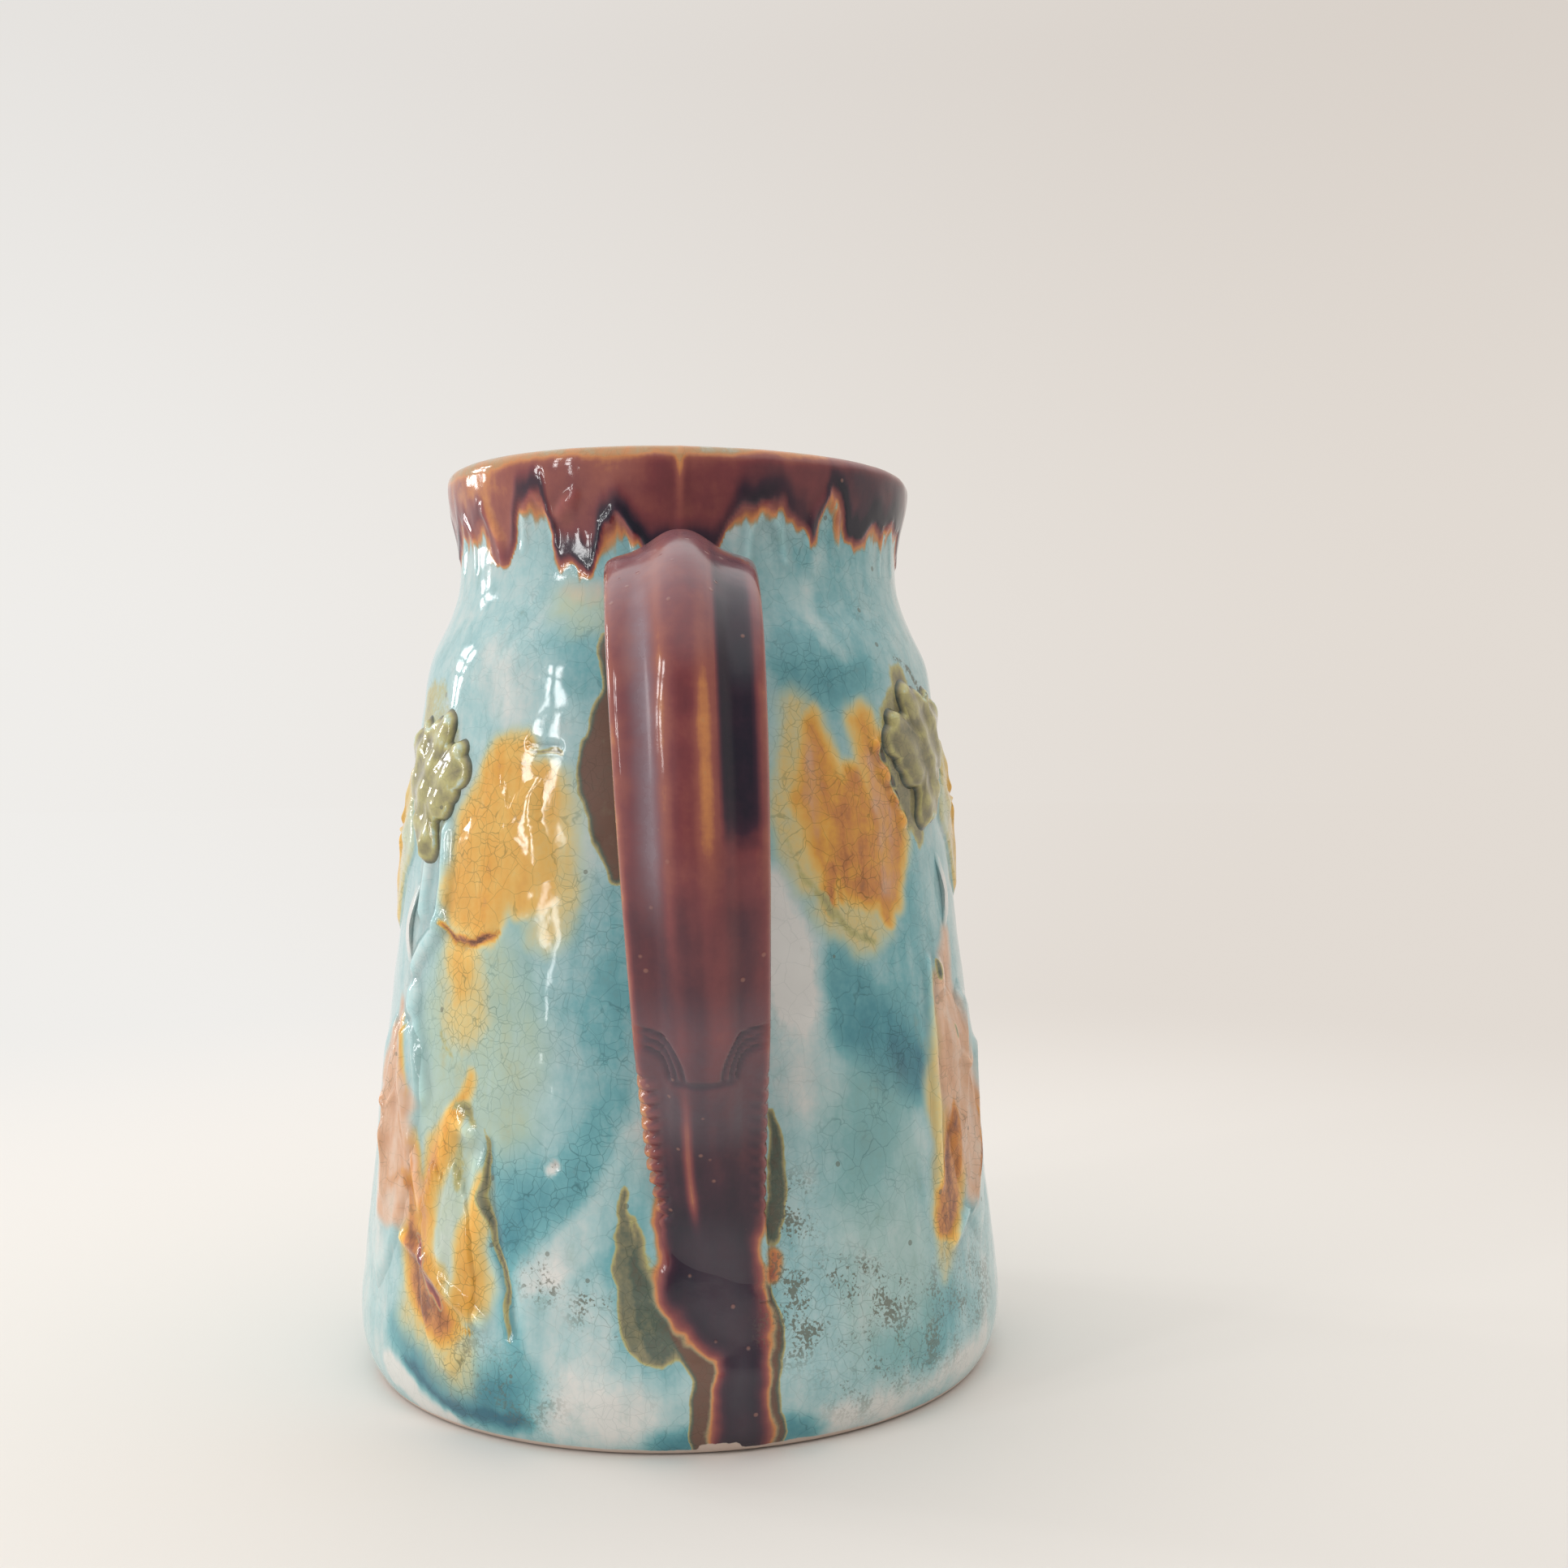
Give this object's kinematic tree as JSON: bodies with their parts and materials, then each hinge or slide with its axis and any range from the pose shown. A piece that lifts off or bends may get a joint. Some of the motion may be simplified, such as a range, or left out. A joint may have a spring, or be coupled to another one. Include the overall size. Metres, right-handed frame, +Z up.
{
  "type": "pitcher",
  "caption": "Tapered stoneware pitcher with a flared rim, a pulled pouring lip, a ribbed strap handle and low vine ornament under a running coloured glaze.",
  "frame": {"origin": "middle of the flat underside, on the plane the foot stands on", "axes": "+Z up the jug's axis, -Y toward the handle, +Y toward the pouring lip, +X to the right seen from the handle side"},
  "size_m": [0.1474, 0.1782, 0.203],
  "materials": {
    "turquoise_glaze": "running turquoise glaze with fine dark crackle",
    "manganese_glaze": "glossy purple-brown glaze with vertical streaks",
    "amber_glaze": "amber to terracotta glaze that fades into turquoise",
    "olive_glaze": "mottled olive glaze",
    "bare_clay": "unglazed pinkish clay"
  },
  "bodies": {
    "root": {"body_half_left": "turquoise_glaze", "body_half_right": "turquoise_glaze", "base_disc": "bare_clay", "handle_strap": "manganese_glaze", "grape_bunch_left": "olive_glaze", "grape_bunch_right": "olive_glaze", "upper_leaf_left": "amber_glaze", "upper_leaf_right": "amber_glaze", "front_leaf_left": "amber_glaze", "front_leaf_right": "amber_glaze", "vine_stem_left": "turquoise_glaze", "vine_stem_right": "turquoise_glaze", "lower_leaf_left": "amber_glaze", "lower_leaf_right": "amber_glaze", "basal_leaf_left": "amber_glaze"}
  },
  "joints": []
}
